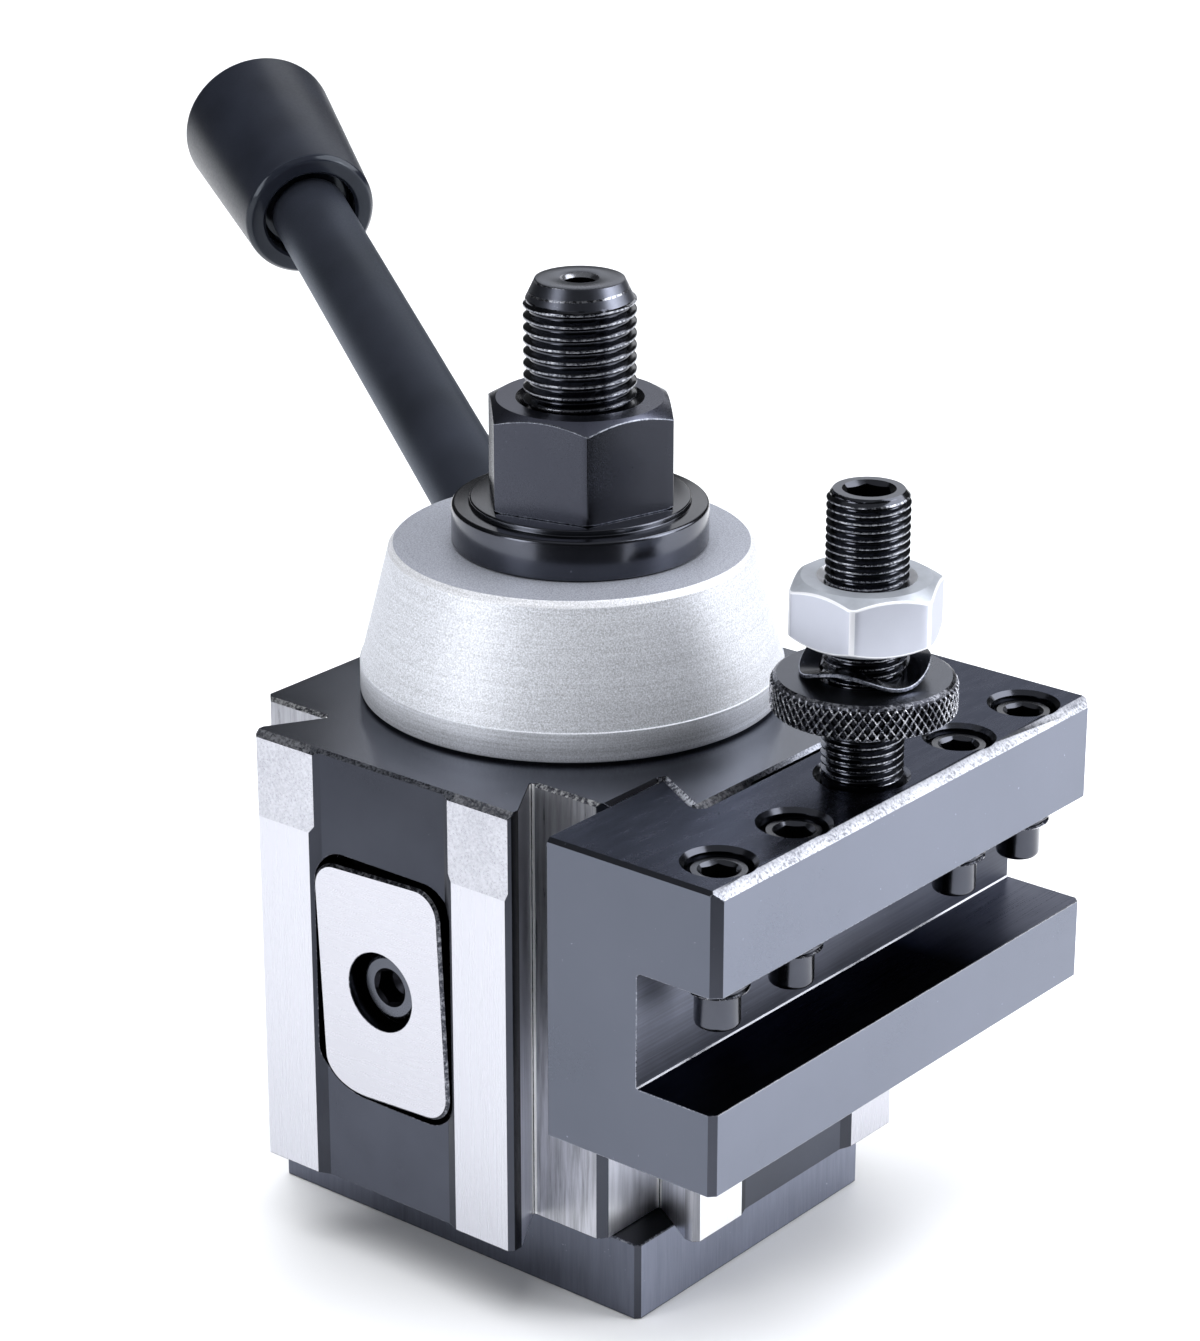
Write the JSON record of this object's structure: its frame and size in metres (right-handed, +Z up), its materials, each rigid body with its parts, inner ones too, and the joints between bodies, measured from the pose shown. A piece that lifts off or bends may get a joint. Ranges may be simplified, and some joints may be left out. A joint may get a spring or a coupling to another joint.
{
  "type": "lathe tool post",
  "caption": "Piston-type quick-change tool post: square dovetail block on a T-nut and stud, with a lever-turned clamp head and a slotted tool holder with height stop.",
  "frame": {"origin": "on the clamp head's axis, at the underside of the T-nut blank", "axes": "+Z up along the clamp axis; +X out through the dovetail that carries the holder; -Y out through the bare dovetail"},
  "size_m": [0.1845, 0.1199, 0.1219],
  "materials": {
    "black_oxide": "black oxide on ground steel, satin",
    "holder_black": "black oxide, satin",
    "black_gloss": "oiled black oxide, glossy",
    "ground_steel": "surface ground",
    "blasted_steel": "turned and bead blasted, satin",
    "zinc": "bright zinc plate",
    "handle_black": "matte black",
    "knob_black": "moulded, satin, glossy at the mouth",
    "inner_steel": "turned steel, oiled",
    "spring_steel": "drawn wire",
    "knurled_black": "black oxide, diamond knurl"
  },
  "bodies": {
    "post": {"post_body": "black_oxide", "centre_bushing": "inner_steel", "retaining_ring": "spring_steel", "front_spring": "spring_steel", "side_spring": "spring_steel"},
    "lever": {"cam_sleeve": "inner_steel", "clamp_head": "blasted_steel", "head_pins": "inner_steel", "handle_rod": "handle_black", "handle_knob": "knob_black"},
    "front_clamp": {"front_piston": "inner_steel", "front_pad": "ground_steel", "front_pad_screw": "black_gloss"},
    "side_clamp": {"side_piston": "inner_steel", "side_pad": "ground_steel", "side_pad_screw": "black_gloss"},
    "stud": {"t_nut": "black_oxide", "centre_stud": "black_gloss"},
    "washer": {"stud_washer": "black_gloss"},
    "clamp_nut": {"stud_nut": "black_gloss"},
    "holder": {"tool_holder": "holder_black", "height_stud": "black_gloss"},
    "spring_washer": {"wave_washer": "black_gloss"},
    "height_wheel": {"height_nut": "knurled_black"},
    "jam_nut": {"lock_nut": "zinc"},
    "screw_1": {"tool_screw_1": "black_gloss"},
    "screw_2": {"tool_screw_2": "black_gloss"},
    "screw_3": {"tool_screw_3": "black_gloss"},
    "screw_4": {"tool_screw_4": "black_gloss"}
  },
  "joints": [
    {"name": "lever_turn", "type": "hinge", "parent": "post", "child": "lever", "pos_m": [0, 0, 0.0785], "axis": [0, 0, 1], "range_deg": [0, 60]},
    {"name": "front_pad_slide", "type": "slide", "parent": "post", "child": "front_clamp", "axis": [0, -1, 0], "range_m": [-0.00101, 0]},
    {"name": "side_pad_slide", "type": "slide", "parent": "post", "child": "side_clamp", "axis": [1, 0, 0], "range_m": [-0.00101, 0]},
    {"name": "post_swivel", "type": "hinge", "parent": "post", "child": "stud", "pos_m": [0.00083, 0.00065, 0.005], "axis": [0, 0, 1], "continuous": true},
    {"name": "nut_lift", "type": "slide", "parent": "stud", "child": "washer", "axis": [0, 0, 1], "range_m": [0, 0.008]},
    {"name": "nut_turn", "type": "hinge", "parent": "washer", "child": "clamp_nut", "pos_m": [0.00083, 0.00065, 0.1], "axis": [0, 0, 1], "range_deg": [0, 1921]},
    {"name": "holder_lift", "type": "slide", "parent": "post", "child": "holder", "axis": [0, 0, 1], "range_m": [-0.004, 0.045]},
    {"name": "height_lift", "type": "slide", "parent": "holder", "child": "spring_washer", "axis": [0, 0, 1], "range_m": [-0.00401, 0.00101]},
    {"name": "height_turn", "type": "hinge", "parent": "spring_washer", "child": "height_wheel", "pos_m": [0.0451, -0.0002, 0.079], "axis": [0, 0, 1], "range_deg": [-1440, 360]},
    {"name": "lock_nut_travel", "type": "slide", "parent": "holder", "child": "jam_nut", "axis": [0, 0, 1], "range_m": [-0.001, 0.009]},
    {"name": "screw_1_travel", "type": "slide", "parent": "holder", "child": "screw_1", "axis": [0, 0, -1], "range_m": [-0.003, 0.0065]},
    {"name": "screw_2_travel", "type": "slide", "parent": "holder", "child": "screw_2", "axis": [0, 0, -1], "range_m": [-0.003, 0.0065]},
    {"name": "screw_3_travel", "type": "slide", "parent": "holder", "child": "screw_3", "axis": [0, 0, -1], "range_m": [-0.003, 0.0065]},
    {"name": "screw_4_travel", "type": "slide", "parent": "holder", "child": "screw_4", "axis": [0, 0, -1], "range_m": [-0.003, 0.0065]}
  ],
  "couplings": [
    {"joint": "front_pad_slide", "follows": "lever_turn", "m_per_rad": -0.00095493},
    {"joint": "side_pad_slide", "follows": "lever_turn", "m_per_rad": -0.00095493},
    {"joint": "nut_turn", "follows": "nut_lift", "rad_per_m": 4188.8},
    {"joint": "height_lift", "follows": "height_turn", "m_per_rad": 0.00015915}
  ]
}
